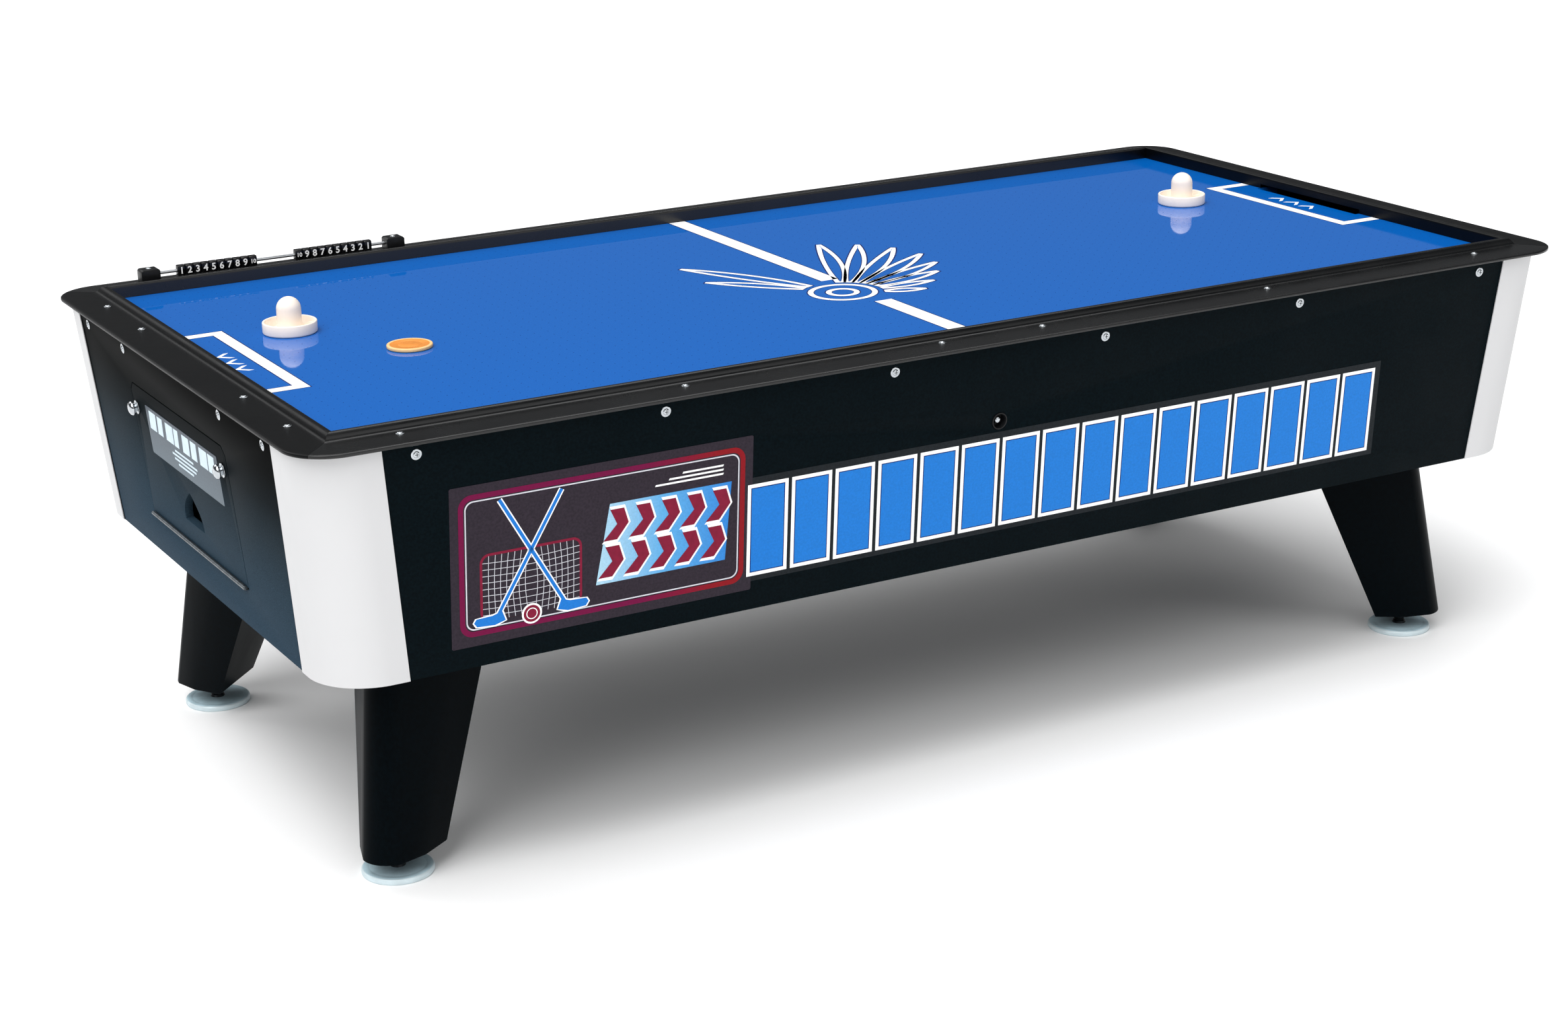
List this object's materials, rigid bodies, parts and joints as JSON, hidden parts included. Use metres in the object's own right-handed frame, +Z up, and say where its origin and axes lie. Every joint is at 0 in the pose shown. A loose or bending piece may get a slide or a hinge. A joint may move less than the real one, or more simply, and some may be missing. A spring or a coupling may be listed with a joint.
{
  "type": "air hockey table",
  "caption": "Air hockey table: sloping cabinet on tapered legs, slick playfield inside moulded rails, drop-down puck doors, sliding bead scorer, mallets and puck.",
  "frame": {"origin": "on the floor, under the middle of the table", "axes": "+X along the table towards the end that faces away in the picture, +Y across it towards the scorer, +Z up"},
  "size_m": [2.451, 1.2554, 0.8145],
  "materials": {
    "field": "polished high-pressure laminate with printed markings",
    "rail": "satin black powder coat",
    "side_board": "black textured laminate on board",
    "end_board": "dark blue-grey speckled laminate on board",
    "guard": "satin polished",
    "leg": "black satin laminate",
    "foot": "zinc plated",
    "inner_wood": "bare plywood",
    "steel": "plain",
    "chrome": "bright plated",
    "black_plastic": "moulded",
    "bead": "polished, with white printed numerals",
    "mallet": "moulded ivory",
    "puck": "moulded orange"
  },
  "bodies": {
    "cabinet": {"playfield": "field", "rail_near": "rail", "rail_far": "rail", "rail_left": "rail", "rail_right": "rail", "side_panel_near": "side_board", "side_panel_far": "side_board", "bottom_panel": "side_board", "end_panel_left": "end_board", "end_panel_right": "end_board", "corner_post_near_left": "inner_wood", "corner_guard_near_left": "guard", "leg_near_left": "leg", "corner_post_near_right": "inner_wood", "corner_guard_near_right": "guard", "leg_near_right": "leg", "corner_post_far_left": "inner_wood", "corner_guard_far_left": "guard", "leg_far_left": "leg", "corner_post_far_right": "inner_wood", "corner_guard_far_right": "guard", "leg_far_right": "leg", "air_chamber": "inner_wood", "chamber_spine": "inner_wood", "goal_chute_left": "inner_wood", "goal_chute_right": "inner_wood", "hinge_fixed_leaf_left": "steel", "hinge_fixed_leaf_right": "steel", "scorer_rod": "steel", "blower_housing": "steel", "button_bezel": "black_plastic", "intake_grille": "black_plastic", "power_inlet": "black_plastic", "blower_motor": "black_plastic", "scorer_block_left": "black_plastic", "scorer_block_right": "black_plastic"},
    "left_door": {"door_left": "end_board", "hinge_door_leaf_left": "steel"},
    "right_door": {"door_right": "end_board", "hinge_door_leaf_right": "steel"},
    "left_near_lock": {"door_lock_left_near": "chrome"},
    "left_far_lock": {"door_lock_left_far": "chrome"},
    "right_near_lock": {"door_lock_right_near": "chrome"},
    "right_far_lock": {"door_lock_right_far": "chrome"},
    "impeller": {"blower_impeller": "steel"},
    "button": {"start_button": "chrome"},
    "left_outer_bead": {"score_bead_left_outer": "bead"},
    "left_bead_stack": {"score_beads_left_stack": "bead"},
    "left_inner_bead": {"score_bead_left_inner": "bead"},
    "right_outer_bead": {"score_bead_right_outer": "bead"},
    "right_bead_stack": {"score_beads_right_stack": "bead"},
    "right_inner_bead": {"score_bead_right_inner": "bead"},
    "left_mallet": {"mallet_left": "mallet"},
    "right_mallet": {"mallet_right": "mallet"},
    "loose_puck": {"puck": "puck"},
    "near_left_foot": {"foot_near_left": "foot"},
    "near_right_foot": {"foot_near_right": "foot"},
    "far_left_foot": {"foot_far_left": "foot"},
    "far_right_foot": {"foot_far_right": "foot"}
  },
  "joints": [
    {"name": "left_door_hinge", "type": "hinge", "parent": "cabinet", "child": "left_door", "pos_m": [-1.18995, 0, 0.44647], "axis": [0, -1, 0], "range_deg": [0, 165]},
    {"name": "left_near_lock_turn", "type": "hinge", "parent": "left_door", "child": "left_near_lock", "pos_m": [-1.20463, -0.217, 0.64175], "axis": [-0.9956, 0, -0.0933], "range_deg": [0, 90]},
    {"name": "left_far_lock_turn", "type": "hinge", "parent": "left_door", "child": "left_far_lock", "pos_m": [-1.20463, 0.217, 0.64175], "axis": [0.9956, 0, 0.0933], "range_deg": [0, 90]},
    {"name": "right_door_hinge", "type": "hinge", "parent": "cabinet", "child": "right_door", "pos_m": [1.18995, 0, 0.44647], "axis": [0, 1, 0], "range_deg": [0, 165]},
    {"name": "right_far_lock_turn", "type": "hinge", "parent": "right_door", "child": "right_far_lock", "pos_m": [1.20463, 0.217, 0.64175], "axis": [0.9956, 0, -0.0933], "range_deg": [0, 90]},
    {"name": "right_near_lock_turn", "type": "hinge", "parent": "right_door", "child": "right_near_lock", "pos_m": [1.20463, -0.217, 0.64175], "axis": [-0.9956, 0, 0.0933], "range_deg": [0, 90]},
    {"name": "near_left_foot_thread", "type": "slide", "parent": "cabinet", "child": "near_left_foot", "axis": [0, 0, 1], "range_m": [-0.014, 0]},
    {"name": "near_right_foot_thread", "type": "slide", "parent": "cabinet", "child": "near_right_foot", "axis": [0, 0, 1], "range_m": [-0.014, 0]},
    {"name": "far_left_foot_thread", "type": "slide", "parent": "cabinet", "child": "far_left_foot", "axis": [0, 0, 1], "range_m": [-0.014, 0]},
    {"name": "far_right_foot_thread", "type": "slide", "parent": "cabinet", "child": "far_right_foot", "axis": [0, 0, 1], "range_m": [-0.014, 0]},
    {"name": "impeller_spin", "type": "hinge", "parent": "cabinet", "child": "impeller", "pos_m": [0.3, 0, 0.62], "axis": [0, 0, 1], "continuous": true},
    {"name": "start_button_press", "type": "slide", "parent": "cabinet", "child": "button", "axis": [0, 0.9962, 0.0875], "range_m": [0, 0.0035], "stiffness_N_per_m": 300, "springref_m": -0.004},
    {"name": "left_bead_stack_slide", "type": "slide", "parent": "cabinet", "child": "left_bead_stack", "axis": [1, 0, 0], "range_m": [-0.018, 0.017]},
    {"name": "left_outer_bead_slide", "type": "slide", "parent": "left_bead_stack", "child": "left_outer_bead", "axis": [1, 0, 0], "range_m": [-0.016, 0]},
    {"name": "left_inner_bead_slide", "type": "slide", "parent": "left_bead_stack", "child": "left_inner_bead", "axis": [1, 0, 0], "range_m": [0, 0.017]},
    {"name": "right_bead_stack_slide", "type": "slide", "parent": "cabinet", "child": "right_bead_stack", "axis": [1, 0, 0], "range_m": [-0.017, 0.0138]},
    {"name": "right_outer_bead_slide", "type": "slide", "parent": "right_bead_stack", "child": "right_outer_bead", "axis": [1, 0, 0], "range_m": [0, 0.0138]},
    {"name": "right_inner_bead_slide", "type": "slide", "parent": "right_bead_stack", "child": "right_inner_bead", "axis": [1, 0, 0], "range_m": [-0.017, 0]},
    {"name": "left_mallet_slide", "type": "slide", "parent": "cabinet", "child": "left_mallet", "axis": [1, 0, 0], "range_m": [-0.14, 0.9]},
    {"name": "right_mallet_slide", "type": "slide", "parent": "cabinet", "child": "right_mallet", "axis": [1, 0, 0], "range_m": [-0.86, 0.17]},
    {"name": "puck_slide", "type": "slide", "parent": "cabinet", "child": "loose_puck", "axis": [1, 0, 0], "range_m": [-0.31, 1.954]}
  ]
}
